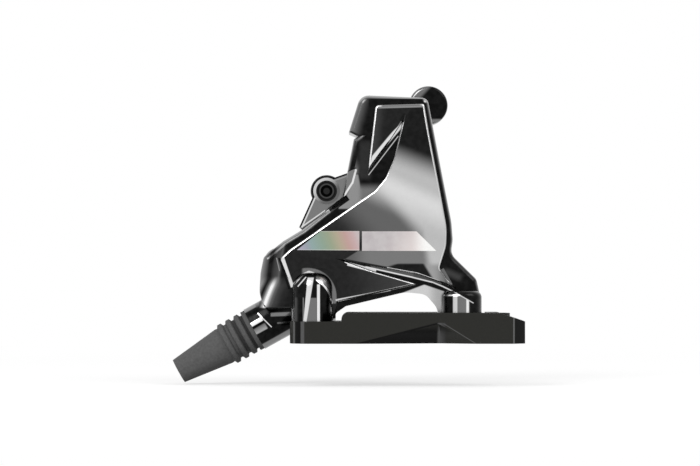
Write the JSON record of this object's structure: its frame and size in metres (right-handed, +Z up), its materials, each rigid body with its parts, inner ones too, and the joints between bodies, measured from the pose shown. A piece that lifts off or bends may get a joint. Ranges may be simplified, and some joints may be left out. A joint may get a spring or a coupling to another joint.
{
  "type": "bicycle disc brake caliper",
  "caption": "Two-piece hydraulic disc brake caliper standing on a flat-mount adapter plate, with sliding pistons and pads, pad pin, bleed port and ribbed hose boot.",
  "frame": {"origin": "midway between the two frame bolts, on the adapter plate's underside", "axes": "+X along the chainstay towards the wheel axle, +Y inboard across the rotor plane, +Z up from the mounting face"},
  "size_m": [0.0806, 0.0386, 0.0685],
  "materials": {
    "polished_body": "polished dark anodised aluminium",
    "satin_black": "satin black anodised aluminium",
    "boot_rubber": "matte moulded rubber",
    "seal_rubber": "smooth black rubber",
    "piston": "machined phenolic",
    "backing_steel": "ground steel",
    "friction": "pressed friction compound",
    "spring_steel": "bright spring steel",
    "black_steel": "black steel",
    "brass": "turned brass",
    "cap_plastic": "soft black plastic"
  },
  "bodies": {
    "caliper": {"outboard_half": "polished_body", "inboard_half": "polished_body", "outboard_piston_seal": "seal_rubber", "inboard_piston_seal": "seal_rubber", "pad_spring": "spring_steel", "pad_pin": "black_steel", "pad_pin_clip": "spring_steel", "upper_body_bolt": "black_steel", "lower_body_bolt": "black_steel", "crossover_seal": "seal_rubber", "compression_nut": "black_steel", "olive": "brass", "hose_boot": "boot_rubber", "adapter_plate": "satin_black", "left_adapter_bolt": "black_steel", "right_adapter_bolt": "black_steel"},
    "outboard_piston_body": {"outboard_piston": "piston"},
    "inboard_piston_body": {"inboard_piston": "piston"},
    "outboard_pad": {"outboard_pad_backing": "backing_steel", "outboard_pad_friction": "friction"},
    "inboard_pad": {"inboard_pad_backing": "backing_steel", "inboard_pad_friction": "friction"},
    "bleed_screw_body": {"bleed_screw": "black_steel", "bleed_screw_seal": "seal_rubber"},
    "bleed_cap_body": {"bleed_cap": "cap_plastic"}
  },
  "joints": [
    {"name": "outboard_piston_slide", "type": "slide", "parent": "caliper", "child": "outboard_piston_body", "axis": [0, 1, 0], "range_m": [0, 0.001]},
    {"name": "inboard_piston_slide", "type": "slide", "parent": "caliper", "child": "inboard_piston_body", "axis": [0, -1, 0], "range_m": [0, 0.001]},
    {"name": "outboard_pad_slide", "type": "slide", "parent": "caliper", "child": "outboard_pad", "axis": [0, 1, 0], "range_m": [0, 0.001]},
    {"name": "inboard_pad_slide", "type": "slide", "parent": "caliper", "child": "inboard_pad", "axis": [0, -1, 0], "range_m": [0, 0.001]},
    {"name": "bleed_screw_turn", "type": "hinge", "parent": "caliper", "child": "bleed_screw_body", "pos_m": [0.0015, 0.024, 0.05474], "axis": [0, 1, 0], "range_deg": [0, 180]},
    {"name": "bleed_cap_pull", "type": "slide", "parent": "caliper", "child": "bleed_cap_body", "axis": [0, 1, 0], "range_m": [0, 0.008]}
  ],
  "couplings": [
    {"joint": "inboard_piston_slide", "follows": "outboard_piston_slide", "ratio": 1},
    {"joint": "outboard_pad_slide", "follows": "outboard_piston_slide", "ratio": 1},
    {"joint": "inboard_pad_slide", "follows": "outboard_piston_slide", "ratio": 1}
  ]
}
